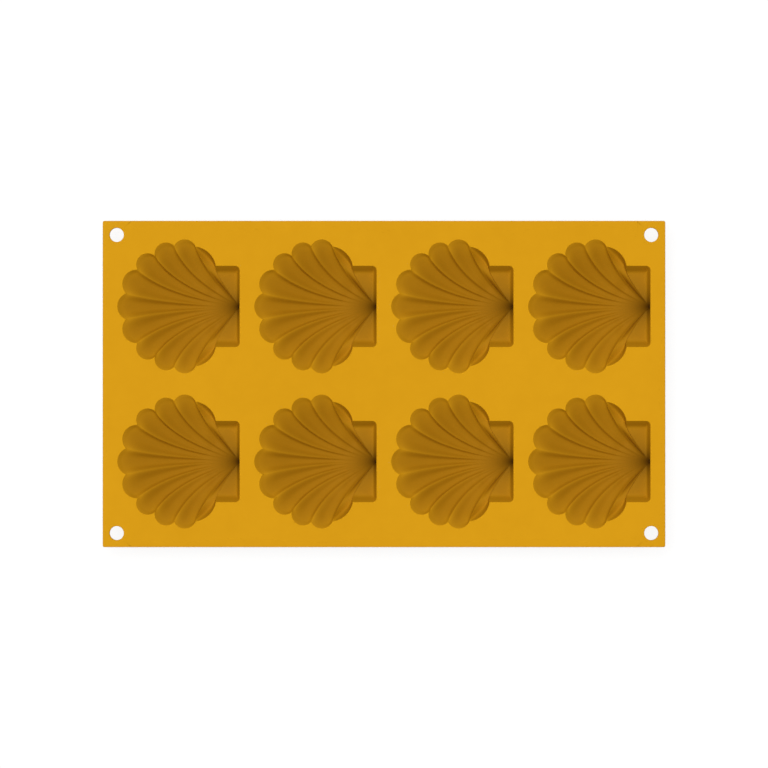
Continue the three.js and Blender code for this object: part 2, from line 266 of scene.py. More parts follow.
@dataclass(frozen=True)
class ShellPlan:
    """Plan of one shell: along runs from the hinge edge to the fan's tip, across to the side."""

    fan_centre: float = 29.4
    fan_radius: float = 35.5
    end_lobe_bulge: float = 2.5
    ear_length: float = 12.7
    ear_half_width: float = 21.5
    ear_corner: float = 2.2
    ear_root: float = 53.2
    ridges: tuple[Ridge, ...] = (
        Ridge(12.6, 4.0, 3.2),
        Ridge(38.2, 4.2, 10.7),
        Ridge(59.8, 4.8, 19.3),
        Ridge(80.6, 3.2, 31.0),
        Ridge(100.6, 3.2, 46.5),
    )
    lobe_steps: int = 16

    @property
    def length(self) -> float:
        """Length of the shell from the hinge edge to the tip."""
        return self.fan_centre + self.fan_radius

    def lobe_shares(self) -> Array:
        """Places across one lobe from 0 to 1, closer together at the ridges."""
        return 0.5 - 0.5 * np.cos(np.linspace(0.0, math.pi, self.lobe_steps + 1))

    def edges(self) -> tuple[Array, Array]:
        """Edges of the lobes from one ear to the other: the notches and, at both ends, the ear's corner.

        Returns:
            The edge points, and the angles at which their ridges leave the hinge point.
        """
        at = np.radians([ridge.at for ridge in self.ridges])
        reach = self.fan_radius - np.array([ridge.notch for ridge in self.ridges])
        along = np.append(self.fan_centre + reach * np.cos(at), self.ear_length)
        across = np.append(reach * np.sin(at), self.ear_half_width)
        root = np.radians([ridge.root for ridge in self.ridges] + [self.ear_root])
        half = np.stack([along, across], axis=-1)
        mirrored = half[::-1] * np.array([1.0, -1.0])
        return np.concatenate([mirrored, half]), np.concatenate([-root[::-1], root])

    def circles(self) -> tuple[Array, Array]:
        """Circle of each lobe's round end, over its two edges and a tip between them.

        The tip lies on the circle of tips, and on the end lobes a little outside the line to the ear.

        Returns:
            The centres and the radii.
        """
        points, _ = self.edges()
        a, b = points[:-1], points[1:]
        turn = np.arctan2(points[:, 1], points[:, 0] - self.fan_centre)
        middle = (turn[:-1] + turn[1:]) / 2.0
        tip = self.fan_radius * np.stack([np.cos(middle), np.sin(middle)], axis=-1)
        tip[:, 0] += self.fan_centre
        chord = b - a
        outward = unit(np.stack([chord[:, 1], -chord[:, 0]], axis=-1))
        ends = [0, -1]
        tip[ends] = ((a + b) / 2.0 + self.end_lobe_bulge * outward)[ends]
        rise = tip - a
        scale = 2.0 * cross_2d(chord, rise)[:, None]
        chord_square = (chord**2).sum(axis=1)[:, None]
        rise_square = (rise**2).sum(axis=1)[:, None]
        leant = rise * chord_square - chord * rise_square
        centre = a + np.stack([leant[:, 1], -leant[:, 0]], axis=-1) / scale
        return centre, np.linalg.norm(a - centre, axis=1)

    def ends(self, offset: float) -> Array:
        """Edges of the lobes when the plan is grown by offset: where neighbouring circles meet.

        Args:
            offset: Distance by which the plan grows.

        Returns:
            The notch points, with the ear's corner at both ends.
        """
        centre, radius = self.circles()
        grown = radius + offset
        axis = centre[1:] - centre[:-1]
        distance = np.linalg.norm(axis, axis=1)
        run = (distance**2 + grown[:-1] ** 2 - grown[1:] ** 2) / (2.0 * distance)
        rise = np.sqrt(grown[:-1] ** 2 - run**2)
        axis = axis / distance[:, None]
        outward = np.stack([axis[:, 1], -axis[:, 0]], axis=-1)
        notches = centre[:-1] + axis * run[:, None] + outward * rise[:, None]
        side = self.ear_half_width + offset
        joint = centre[-1, 0] - math.sqrt(grown[-1] ** 2 - (side - centre[-1, 1]) ** 2)
        return np.concatenate([[[joint, -side]], notches, [[joint, side]]])

    def lobe_ends(self, offset: float) -> Array:
        """Points of the fan's scalloped edge, from one ear to the other.

        Args:
            offset: Distance by which the plan grows.

        Returns:
            One point for each line of the fan.
        """
        centre, radius = self.circles()
        ends = self.ends(offset)
        first = ends[:-1] - centre
        last = ends[1:] - centre
        start = np.arctan2(first[:, 1], first[:, 0])
        sweep = np.mod(np.arctan2(last[:, 1], last[:, 0]) - start, 2.0 * math.pi)
        turn = start[:, None] + sweep[:, None] * self.lobe_shares()[None, :-1]
        spoke = np.stack([np.cos(turn), np.sin(turn)], axis=-1)
        arcs = centre[:, None] + spoke * (radius + offset)[:, None, None]
        return np.concatenate([arcs.reshape(-1, 2), ends[-1:]])

    def ear_edge(self, offset: float, shares: Array) -> Array:
        """Points along an ear's own edge: up the hinge edge, round the corner and back to the fan.

        Args:
            offset: Distance by which the plan grows.
            shares: Shares of the edge's length, from the hinge point at 0 to the fan at 1.

        Returns:
            One point for each share.
        """
        side = self.ear_half_width + offset
        radius = self.ear_corner + offset
        straight = side - radius
        bend = radius * math.pi / 2.0
        back = self.ends(offset)[-1, 0] + offset - radius
        gone = shares * (straight + bend + back)
        turn = np.clip((gone - straight) / radius, 0.0, math.pi / 2.0)
        after = np.maximum(gone - straight - bend, 0.0)
        along = -offset + radius * (1.0 - np.cos(turn)) + after
        across = np.minimum(gone, straight) + radius * np.sin(turn)
        return np.stack([along, across], axis=-1)

    def outline(self, offset: float, shares: Array) -> Array:
        """Closed loop of the shell's outline, counter-clockwise, starting at an ear's corner with the fan.

        Args:
            offset: Distance by which the plan grows.
            shares: Shares along an ear's edge.

        Returns:
            The loop's points.
        """
        ear = self.ear_edge(offset, shares)
        mirrored = ear * np.array([1.0, -1.0])
        return np.concatenate([self.lobe_ends(offset), ear[-2:0:-1], mirrored[:-1]])


@dataclass(frozen=True)
class ShellSection:
    """How deep the cavity is: a dome with ribs under the fan, and a flat floor in each ear."""

    cavity_depth: float = 16.0
    edge_depth: float = 0.8
    ear_depth: float = 5.0
    ear_side_wall: float = 3.0
    ear_hinge_wall: float = 1.45
    ear_bend: float = 0.3
    dome_peak: float = 20.0
    floor_power: float = 1.6
    fan_power: float = 1.2
    hinge_power: float = 0.55
    fan_turn: float = 92.0
    hinge_turn: float = 135.0
    reach_blend: float = 6.0
    rib_rise: float = 3.2
    rib_share: float = 0.7
    rib_growth: float = 1.3
    rib_start: float = 0.10
    rib_full: float = 0.32
    rib_least: float = 0.12
    rib_foot: float = 0.25
    rib_land: float = 0.94
    rib_lean: float = 0.24
    ridge_flare: float = 2.2
    calm_inset: float = 2.6
    edge_round: float = 2.0
    edge_share: float = 0.9
    shelf_depth: float = 6.2
    shelf_run: float = 8.0
    shelf_power: float = 3.5
    seam_share: float = 0.78
    lip: float = 0.35

    def dome(self, plan: ShellPlan, along: Array, across: Array) -> Array:
        """Depth of the smooth dome: it rises gently to the tips and ends in a steep wall at the hinge.

        The way out is measured on a ray from the peak, 0 there and 1 where the ray leaves the circle of tips
        or the hinge edge, whichever is nearer. The depth falls to the edge's as
        (1 - out ** floor_power) ** power, with a small power on the hinge side and a larger one on the fan.

        Args:
            plan: Plan of the shell.
            along: Distances from the hinge edge.
            across: Distances from the axis.

        Returns:
            The depths.
        """
        run = along - self.dome_peak
        turn = np.arctan2(np.abs(across), run)
        ahead = plan.fan_centre - self.dome_peak
        to_tips = ahead * np.cos(turn) + np.sqrt(plan.fan_radius**2 - (ahead * np.sin(turn)) ** 2)
        per_hinge = np.clip(-np.cos(turn), 0.0, None) / self.dome_peak
        nearer = to_tips**-self.reach_blend + per_hinge**self.reach_blend
        out = np.clip(np.hypot(run, across) * nearer ** (1.0 / self.reach_blend), 0.0, 1.0)
        back = eased((np.degrees(turn) - self.fan_turn) / (self.hinge_turn - self.fan_turn))
        power = self.fan_power + (self.hinge_power - self.fan_power) * back
        fall = (1.0 - out**self.floor_power) ** power
        return self.edge_depth + (self.cavity_depth - self.edge_depth) * fall

    def rib(self, from_middle: Array, height: Array, hollow: Array) -> Array:
        """Rise of a rib across a lobe: a smooth step from the lobe's floor up to the level land on the ridge.

        Args:
            from_middle: Places between the lobe's middle at 0 and its edge at 1.
            height: Full height of the rib.
            hollow: Depth of the dome, of which the rib takes at most a share.

        Returns:
            The rises above the dome.
        """
        most = self.rib_share * hollow
        lower = height * most / np.maximum((height**4 + most**4) ** 0.25, SLACK)
        return lower * eased((from_middle - self.rib_foot) / (self.rib_land - self.rib_foot))

    def shelf(self, crest: Array, seam_along: Array, to_ear: Array) -> Array:
        """Depth of an end lobe, a shelf a little below the ear: a wall next to the last ridge, then a floor.

        Args:
            crest: Depths of the last ridge's crest.
            seam_along: Distances of the lobe's seam with the ear from the hinge edge.
            to_ear: Places across the lobe, from the ridge at 0 to the ear at 1.

        Returns:
            The depths.
        """
        in_ear = self.ear_depth * slope_to_floor(seam_along / self.ear_hinge_wall, self.ear_bend)
        floor = in_ear + (self.shelf_depth - self.ear_depth) * np.clip(seam_along / self.shelf_run, 0.0, 1.0)
        return floor + (crest - floor) * (1.0 - to_ear) ** self.shelf_power

    def ear(self, plan: ShellPlan, along: Array, across: Array) -> Array:
        """Depth of an ear: a flat floor with sloping walls at its own edge and corner.

        Args:
            plan: Plan of the shell.
            along: Distances from the hinge edge.
            across: Distances from the axis.

        Returns:
            The depths.
        """
        aside = plan.ear_half_width - np.abs(across)
        to_side, to_hinge = plan.ear_corner - aside, plan.ear_corner - along
        turn = np.arctan2(to_side, to_hinge) / (math.pi / 2.0)
        corner_wall = self.ear_hinge_wall + (self.ear_side_wall - self.ear_hinge_wall) * turn
        corner = (plan.ear_corner - np.hypot(to_hinge, to_side)) / corner_wall
        straight = np.minimum(along / self.ear_hinge_wall, aside / self.ear_side_wall)
        share = np.where((to_side > 0.0) & (to_hinge > 0.0), corner, straight)
        return self.lip + (self.ear_depth - self.lip) * slope_to_floor(share, self.ear_bend)


@dataclass(frozen=True)
class FanGrid:
    """Lines of the fan in plan, from one ear to the other, each crossed by the rings.

    share is a ring's share of the way out. For each line, place is its place across its lobe, lobe the lobe's
    number, root its angle at the hinge point and length its whole length. For each ring and line, reach is
    the distance from the hinge point, and along and across are the place.
    """

    share: Array
    place: Array
    lobe: Index
    root: Array
    length: Array
    reach: Array
    along: Array
    across: Array


@dataclass(frozen=True)
class ShellCup:
    """One shell cup: cavity, lip, rim, outside and flat foot, its hinge point at the origin."""

    plan: ShellPlan = ShellPlan()
    section: ShellSection = ShellSection()
    wall: float = 1.5
    sheet_thickness: float = 2.2
    rings: int = 68
    ear_steps: int = 16
    lip_steps: int = 5
    rim_flat: float = 0.2
    hinge_cone: float = 0.12
    cone_power: float = 0.5
    foot_flat: float = 1.4
    foot_edge: float = 2.2
    # Paler, grainier band inside the outline: the paler colour is painted light for the lesser shade near the
    # rim.
    edge_satin_and_light: float = 0.35
    edge_satin_and_light_reach: float = 3.5
    # Painted highlight: less polish along the ridge crests, so a paler colour and a stronger grain there.
    crest_satin_and_highlight: float = 0.32
    crest_highlight_power: float = 10.0
    # Reach of the painted shade in the hinge corner, along the axis and to the sides.
    painted_shade_reach: float = 8.0
    painted_shade_aside: float = 6.2

    def ring_shares(self) -> Array:
        """Shares of the way from the hinge point to the outline, closer together at both ends."""
        return eased(np.linspace(0.0, 1.0, self.rings))

    def fan_grid(self) -> FanGrid:
        """Plan of the fan's lines.

        A line leaves the hinge point at its root angle and bends out to its end, with the lobes' waves fading
        inwards into a plain circle.

        Returns:
            The lines.
        """
        plan, section = self.plan, self.section
        share = self.ring_shares()[:, None]
        _, root = plan.edges()
        lobes = len(root) - 1
        place = np.append(np.tile(plan.lobe_shares()[:-1], lobes), 1.0)
        lobe = np.minimum(np.arange(len(place)) // plan.lobe_steps, lobes - 1)
        roots = root[lobe] + (root[lobe + 1] - root[lobe]) * place
        end = plan.lobe_ends(0.0)
        length = np.linalg.norm(end, axis=1)
        turn = np.arctan2(end[:, 1], end[:, 0])
        plain = plan.fan_radius - section.calm_inset
        off_axis = plan.fan_centre * np.sin(turn)
        calm = plan.fan_centre * np.cos(turn) + np.sqrt(plain**2 - off_axis**2)
        reach = share * (calm + (length - calm) * share**2)
        angle = roots + (turn - roots) * share**section.ridge_flare
        along, across = reach * np.cos(angle), reach * np.sin(angle)
        return FanGrid(share, place, lobe, roots, length, reach, along, across)

    def fan_depth(self, grid: FanGrid, rib_rise: float) -> tuple[Array, Array]:
        """Depth under the fan: the dome less the ribs, rounded off at the outline.

        A lobe's lowest line lies off its middle, away from the shell's axis and more so towards the tips. The
        end lobes are shelves that rise to the ears' floors.

        Args:
            grid: The fan's lines.
            rib_rise: Height of the ribs at the tips.

        Returns:
            The depths, and how close each point is to a ridge's crest, which sets the painted highlight
            there.
        """
        plan, section = self.plan, self.section
        share, place, last = grid.share, grid.place, grid.lobe[-1]
        dome = section.dome(plan, grid.along, grid.across)
        lowest = 0.5 + section.rib_lean * share * np.sign(grid.lobe - last // 2)
        to_ear = np.where(grid.lobe == 0, 1.0 - place, np.where(grid.lobe == last, place, 0.0))
        from_middle = (place - lowest) / np.where(place < lowest, -lowest, 1.0 - lowest)
        from_middle = np.where(to_ear > 0.5, 0.0, np.clip(from_middle, 0.0, 1.0))
        inner = 1.0 - np.abs(grid.root) / grid.root[-1]
        onset = eased((share - section.rib_start * inner) / (section.rib_full * inner + section.rib_least))
        rib = section.rib(from_middle, rib_rise * onset * share**section.rib_growth, dome)
        hollow = np.maximum(dome - rib, section.lip)
        shelf = section.shelf(hollow[:, [plan.lobe_steps]], grid.along[:, -1:], to_ear)
        hollow = np.where(to_ear > 0.0, np.maximum(shelf, section.lip), hollow)
        wall = np.maximum(section.edge_round, section.edge_share * hollow)
        wall = wall + (section.ear_side_wall - wall) * to_ear
        inset = np.clip((grid.length - grid.reach) / wall, 0.0, 1.0)
        depth = section.lip + (hollow - section.lip) * inset * (2.0 - inset)
        seam = section.ear(plan, grid.along[:, -1:], grid.across[:, -1:])
        depth = depth + (seam - depth) * eased((to_ear - section.seam_share) / (1.0 - section.seam_share))
        return depth, share**2 * from_middle**self.crest_highlight_power

    def skin(self, rib_rise: float) -> tuple[Array, Array, Array]:
        """The cavity's skin under the fan and under one ear.

        The ear's lines run straight from the fan's last line to the ear's own edge.

        Args:
            rib_rise: Height of the ribs at the tips.

        Returns:
            The fan as rings and lines, the ear as rings and steps from the fan to its edge, and how close
            each point of the fan is to a ridge's crest, which sets the painted highlight there.
        """
        grid = self.fan_grid()
        depth, crest = self.fan_depth(grid, rib_rise)
        fan = np.stack([grid.along, grid.across, -depth], axis=-1)
        part = 1.0 - (1.0 - np.linspace(0.0, 1.0, self.ear_steps)) ** 2
        edge = self.plan.ear_edge(0.0, self.ring_shares())
        start = fan[:, -1, :2]
        flat = start[:, None] + (edge - start)[:, None] * part[None, :, None]
        floor = -self.section.ear(self.plan, flat[..., 0], flat[..., 1])
        return fan, np.concatenate([flat, floor[..., None]], axis=-1), crest

    @staticmethod
    def outward(grid: Array, spread: int) -> Array:
        """Directions out of the cavity, square to its skin and averaged over neighbouring lines.

        Args:
            grid: The skin as rings and lines.
            spread: Number of lines to average over.

        Returns:
            Unit vectors that point down and outwards.
        """
        square = unit(np.cross(np.gradient(grid, axis=1), np.gradient(grid, axis=0)))
        half = spread // 2
        padded = np.pad(square, ((0, 0), (half, half), (0, 0)), mode="edge")
        return unit(np.lib.stride_tricks.sliding_window_view(padded, 2 * half + 1, axis=1).mean(axis=-1))

    def outside(self) -> tuple[Array, Array]:
        """The cup's outside: the skin moved out by the wall, with a cone at the hinge point and a flat foot.

        The direction comes from the skin without ribs, so the ribs show outside as they do inside. The rim's
        underside lies level with the sheet's.

        Returns:
            The fan and one ear, as skin() gives them.
        """
        shares = self.ring_shares()
        fan, ear, _ = self.skin(self.section.rib_rise)
        plain_fan, plain_ear, _ = self.skin(0.0)
        fan_way = self.outward(plain_fan, self.plan.lobe_steps)
        ear_way = self.outward(plain_ear, 0)
        both = unit(fan_way[:, -1] + ear_way[:, 0])
        fan_way[:, -1] = both
        fan_way[:, 0] = both * MIRROR
        ear_way[:, 0] = both
        hinge = np.array([-self.wall, 0.0, -self.sheet_thickness])
        cone = int(np.searchsorted(shares, self.hinge_cone))
        near = (shares[:cone] / shares[cone])[:, None, None] ** np.array([1.0, 1.0, self.cone_power])
        skins = []
        for grid, way in ((fan, fan_way), (ear, ear_way)):
            moved = grid + self.wall * way
            above = moved[..., 2] + self.section.cavity_depth + self.wall
            seated = np.interp(above, [self.foot_flat, self.foot_edge], [0.0, self.foot_edge])
            above = np.where(above < self.foot_edge, seated, above)
            moved[..., 2] = above - self.section.cavity_depth - self.wall
            moved[..., 2] = np.minimum(moved[..., 2], -self.sheet_thickness)
            moved[:cone] = hinge + (moved[cone] - hinge) * near
            skins.append(moved)
        rim = self.plan.lobe_ends(self.wall)
        edge = self.plan.ear_edge(self.wall, shares)
        skins[0][-1, :, :2], skins[0][-1, :, 2] = rim, -self.sheet_thickness
        skins[1][:, -1, :2], skins[1][:, -1, 2] = edge, -self.sheet_thickness
        skins[1][-1] = skins[1][-1, -1]
        return skins[0], skins[1]

    def rim(self) -> tuple[Array, Array]:
        """Rim of the cup: a quarter-round lip, a level ring and the edge that meets the sheet.

        Returns:
            The loops from the cavity outwards, and how polished each loop is.
        """
        turn = np.linspace(0.0, math.pi / 2.0, self.lip_steps)
        lip = self.section.lip
        offsets = np.concatenate([lip * (1.0 - np.cos(turn)), [lip + self.rim_flat, self.wall, self.wall]])
        heights = np.concatenate([-lip * (1.0 - np.sin(turn)), [0.0, 0.0, -self.sheet_thickness]])
        loops = [self.plan.outline(float(offset), self.ring_shares()) for offset in offsets]
        plan = np.stack(loops)
        level = np.broadcast_to(heights[:, None, None], plan.shape[:2] + (1,))
        # Over the lip the polish falls from the cavity's paler edge, painted light, to the sheet's.
        polish = np.concatenate([(1.0 - self.edge_satin_and_light) * np.cos(turn), np.zeros(3)])
        return np.concatenate([plan, level], axis=-1), polish[:, None]

    def polish(self, grid: Array) -> Array:
        """Polish of the cavity: lower at the outline, 1 - satin * exp(-distance / edge_satin_and_light_reach)
        inside it. The lower polish makes the colour paler there, painted light for the lesser shade near the
        rim, and the grain stronger.

        Args:
            grid: Points of the cavity's skin.

        Returns:
            One number for each point.
        """
        outline = self.plan.outline(0.0, self.ring_shares())
        away = np.linalg.norm(grid[..., None, :2] - outline, axis=-1).min(axis=-1)
        return 1.0 - self.edge_satin_and_light * np.exp(-away / self.edge_satin_and_light_reach)

    def shade(self, grid: Array) -> Array:
        """Painted shade in the narrow corner at the hinge point, exp(-distance), less far to the sides: it
        darkens the colour where the deep corner lies in shade.
        """
        return np.exp(-np.hypot(grid[..., 0] / self.painted_shade_reach, grid[..., 1] / self.painted_shade_aside))

    def shape(self) -> Shape:
        """Welds cavity, rim and outside into one closed cup.

        Returns:
            The cup's shape, turned so that the fan points to -X.
        """
        surface = Surface()
        rim, rim_polish = self.rim()
        surface.add(rim, Wrap.AROUND, polish=rim_polish)
        fan, ear = self.outside()
        for grid, turned in ((fan, True), (ear, True), (ear * MIRROR, False)):
            surface.add(grid, turned=turned)
        fan, ear, crest = self.skin(self.section.rib_rise)
        # Less polish along the ridge crests paints a highlight there.
        for grid, turned, crest_highlight in ((fan, False, crest), (ear, False, 0.0), (ear * MIRROR, True, 0.0)):
            polish = self.polish(grid) - self.crest_satin_and_highlight * crest_highlight
            # The shade mark paints shade into the colour in the hinge corner.
            surface.add(grid, turned=turned, polish=polish, shade=self.shade(grid))
        made = surface.shape()
        return Shape(made.points * np.array([-1.0, -1.0, 1.0]), made.quads, made.triangles, made.marks)


@dataclass(frozen=True)
class MouldLayout:
    """Where the cups, panels and webs lie in the sheet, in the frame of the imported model.

    seam is the hairline between a cup's rim and its opening in the sheet.
    """

    columns: str = "abcd"
    column_pitch: float = 73.0
    row_pitch: float = 82.7
    sheet_length: float = 300.0
    sheet_width: float = 174.0
    sheet_thickness: float = 2.2
    sheet_top: float = 17.5
    sheet_corner: float = 1.0
    edge_round: float = 0.5
    web_width: float = 3.0
    hole_diameter: float = 7.5
    hole_inset: float = 7.5
    hole_round: float = 0.35
    seam: float = 0.005

    def column_x(self, column: int) -> float:
        """Middle of a column of cups."""
        return (column - (len(self.columns) - 1) / 2.0) * self.column_pitch

    def row_y(self, row: Row) -> float:
        """Middle of a row of cups."""
        return row.value * self.row_pitch / 2.0

    def hinge(self, column: int, row: Row, plan: ShellPlan) -> tuple[float, float]:
        """Hinge point of a cup, from which its fan points to -X."""
        return self.column_x(column) + plan.length / 2.0, self.row_y(row)

    def web_x(self, web: int) -> float:
        """Middle of the web after a column."""
        return (self.column_x(web) + self.column_x(web + 1)) / 2.0

    def panel_sides(self, column: int) -> tuple[float, float]:
        """Left and right side of a column's panel.

        Args:
            column: Number of the column, from 0.

        Returns:
            The two sides' places along X.
        """
        first, last = column == 0, column == len(self.columns) - 1
        left = -self.sheet_length / 2.0 if first else self.web_x(column - 1) + self.web_width / 2.0
        right = self.sheet_length / 2.0 if last else self.web_x(column) - self.web_width / 2.0
        return left, right


@dataclass(frozen=True)
class SheetPanel:
    """Flat panel of one column, with two cup openings and, at the sheet's ends, two hanging holes."""

    layout: MouldLayout
    cup: ShellCup
    column: int
    flat_steps: int = 4
    round_steps: int = 5
    hole_steps: int = 48
    hole_start: float = 0.02
    corner_steps: int = 7

    @property
    def end(self) -> int:
        """Which end of the sheet the panel forms: -1 left, 1 right, 0 neither."""
        return {0: -1, len(self.layout.columns) - 1: 1}.get(self.column, 0)

    @property
    def corner_cell(self) -> tuple[float, float]:
        """Inner corner of the square of sheet round a hanging hole, on the back side."""
        square = 2.0 * self.layout.hole_inset
        return self.layout.sheet_length / 2.0 - square, self.layout.sheet_width / 2.0 - square

    def edge_outward(self, points: Array) -> Array:
        """Outward directions on the sheet's outer edge, and zero elsewhere.

        Args:
            points: Plan points on the back half of the sheet.

        Returns:
            Unit vectors, or zero for a point that isn't on the outer edge.
        """
        layout = self.layout
        length, width = layout.sheet_length / 2.0, layout.sheet_width / 2.0
        over = np.abs(points) - (np.array([length, width]) - layout.sheet_corner)
        round_corner = (over > NEAR).all(axis=1) & bool(self.end)
        on_side = np.abs(np.abs(points) - np.array([length, width])) < NEAR
        square = np.where(on_side, np.sign(points), 0.0)
        square[:, 0] = np.where(on_side[:, 1], 0.0, square[:, 0])
        return np.where(round_corner[:, None], unit(over) * np.sign(points), square)

    @staticmethod
    def rays(centre: Array, through: Array, polygon: Array) -> Array:
        """Points where rays from a centre meet a polygon.

        Args:
            centre: The rays' start, from which the whole polygon is seen.
            through: One point on each ray.
            polygon: The polygon's corners in order.

        Returns:
            One point for each ray.
        """
        way = through - centre
        side = np.roll(polygon, -1, axis=0) - polygon
        start = polygon - centre
        scale = cross_2d(way[:, None], side[None])
        scale = np.where(np.abs(scale) < TINY, TINY, scale)
        far = cross_2d(start, side)[None] / scale
        along = cross_2d(start[None], way[:, None]) / scale
        seen = (far > 0.0) & (along > -SLACK) & (along < 1.0 + SLACK)
        return centre + way * np.where(seen, far, np.inf).min(axis=1)[:, None]

    @staticmethod
    def snapped(centre: Array, points: Array, corners: Array) -> Array:
        """Points of a loop round a centre, with the nearest one moved to each corner, in order.

        Args:
            centre: The loop's middle.
            points: The loop, counter-clockwise.
            corners: Points that the loop has to hold.

        Returns:
            The loop with its corners.
        """
        made = points.copy()
        turn = np.arctan2(*(points - centre).T[::-1])
        wanted = np.arctan2(*(corners - centre).T[::-1])
        order = np.argsort(turn)
        free = 0
        for number in np.argsort(wanted):
            nearest = free + int(np.argmin(np.abs(turn[order[free:]] - wanted[number])))
            made[order[nearest]] = corners[number]
            free = nearest + 1
        return made

    def ring(self, inner: Array, inward_round: float, outer: Array, inside: NDArray[np.bool_]) -> Surface:
        """A flat ring of sheet between two loops, as a profile carried round them.

        The profile runs over the inner edge, across the top, round the outer edge, and back below.

        Args:
            inner: The inner loop, counter-clockwise.
            inward_round: Radius of the inner edge.
            outer: The outer loop, with as many points.
            inside: Outer points on a line inside the panel, where no wall is wanted.

        Returns:
            The ring's surface.
        """
        layout = self.layout
        way = self.edge_outward(outer)
        outer_round = layout.edge_round * (np.abs(way).sum(axis=1) > 0.0)
        from_inner = unit(inner - inner.mean(axis=0))
        turn = np.linspace(0.0, math.pi / 2.0, self.round_steps)[:, None]
        over = inward_round * (1.0 - np.cos(turn))
        lip = inner[None] + from_inner[None] * over[..., None]
        lip_height = np.broadcast_to(-inward_round * (1.0 - np.sin(turn)), lip.shape[:2])
        held = outer - way * outer_round[:, None]
        shares = np.linspace(0.0, 1.0, self.flat_steps + 1)[1:-1, None, None]
        flat = lip[-1] + (held - lip[-1]) * shares
        bend = outer[None] - way[None] * (outer_round * (1.0 - np.sin(turn)))[..., None]
        bend_height = -outer_round[None] * (1.0 - np.cos(turn))
        plan = np.concatenate([lip, flat, bend])
        height = np.concatenate([lip_height, np.zeros(flat.shape[:2]), bend_height])
        top = np.concatenate([plan, (layout.sheet_top + height)[..., None]], axis=-1)
        bottom = top.copy()
        bottom[..., 2] = 2.0 * layout.sheet_top - layout.sheet_thickness - top[..., 2]
        grid = np.concatenate([top, bottom[::-1]])
        dropped = np.zeros(grid.shape[:2], dtype=bool)
        rows = np.arange(len(grid))
        outer_rows = (rows >= len(top) - self.round_steps) & (rows < len(top) + self.round_steps - 1)
        dropped[np.ix_(outer_rows, np.flatnonzero(inside & np.roll(inside, -1)))] = True
        surface = Surface()
        surface.add(grid, Wrap.BOTH, dropped=dropped)
        return surface

    def cup_cell(self) -> Surface:
        """Ring of sheet round the back cup's opening, out to the panel's sides.

        Returns:
            The ring's surface.
        """
        layout, plan = self.layout, self.cup.plan
        left, right = layout.panel_sides(self.column)
        width = layout.sheet_width / 2.0
        near = width - layout.edge_round
        hinge = np.array(layout.hinge(self.column, Row.BACK, plan))
        inner = hinge - plan.outline(self.cup.wall + layout.seam, self.cup.ring_shares())
        centre = hinge - np.array([plan.fan_centre, 0.0])
        cell_x, cell_y = self.corner_cell
        polygon = [(left, 0.0), (right, 0.0), (right, width), (left, width)]
        extra = [(right, near), (left, near)]
        if self.end > 0:
            polygon[2:3] = [(right, cell_y), (cell_x, cell_y), (cell_x, width)]
            extra = [(cell_x, near), (left, near)]
        if self.end < 0:
            polygon[3:4] = [(-cell_x, width), (-cell_x, cell_y), (left, cell_y)]
            extra = [(right, near), (-cell_x, near)]
        corners = np.array(polygon)
        outer = self.snapped(centre, self.rays(centre, inner, corners), np.array(polygon + extra))
        in_corner = (np.abs(outer[:, 0]) > cell_x - NEAR) & (outer[:, 1] > cell_y - NEAR)
        inside = (np.abs(outer[:, 1]) < NEAR) | (in_corner & bool(self.end))
        return self.ring(inner, 0.0, outer, inside)

    def hole_cell(self) -> Surface:
        """Square of sheet round the back hanging hole, with the sheet's rounded corner.

        Returns:
            The square's surface.
        """
        layout = self.layout
        length, width = layout.sheet_length / 2.0, layout.sheet_width / 2.0
        cell_x, cell_y = self.corner_cell
        turn = np.linspace(0.0, math.pi / 2.0, self.corner_steps)
        corner = np.array([length, width]) - layout.sheet_corner
        bend = corner + layout.sheet_corner * np.stack([np.cos(turn), np.sin(turn)], axis=-1)
        before = [[cell_x, cell_y], [length - layout.edge_round, cell_y], [length, cell_y]]
        after = [[cell_x, width], [cell_x, width - layout.edge_round]]
        polygon = np.concatenate([before, bend, after])
        hole = np.array([length, width]) - layout.hole_inset
        away = polygon - hole
        even = np.linspace(-math.pi, math.pi, self.hole_steps, endpoint=False) + self.hole_start
        turns = np.sort(np.concatenate([even, np.arctan2(away[:, 1], away[:, 0])]))
        spoke = np.stack([np.cos(turns), np.sin(turns)], axis=-1)
        inner = hole + spoke * layout.hole_diameter / 2.0
        outer = self.rays(hole, inner, polygon)
        if self.end < 0:
            inner, outer = (loop[::-1] * np.array([-1.0, 1.0]) for loop in (inner, outer))
        inside = (np.abs(np.abs(outer[:, 0]) - cell_x) < NEAR) | (np.abs(outer[:, 1] - cell_y) < NEAR)
        return self.ring(inner, layout.hole_round, outer, inside)

    def shape(self) -> Shape:
        """Joins the back half of the panel and its mirrored front half.

        Returns:
            The panel's shape, in place.
        """
        cells = [self.cup_cell()] + ([self.hole_cell()] if self.end else [])
        surface = Surface()
        for cell in cells:
            surface.take_in(cell, mirrored=False)
            surface.take_in(cell, mirrored=True)
        return surface.shape()


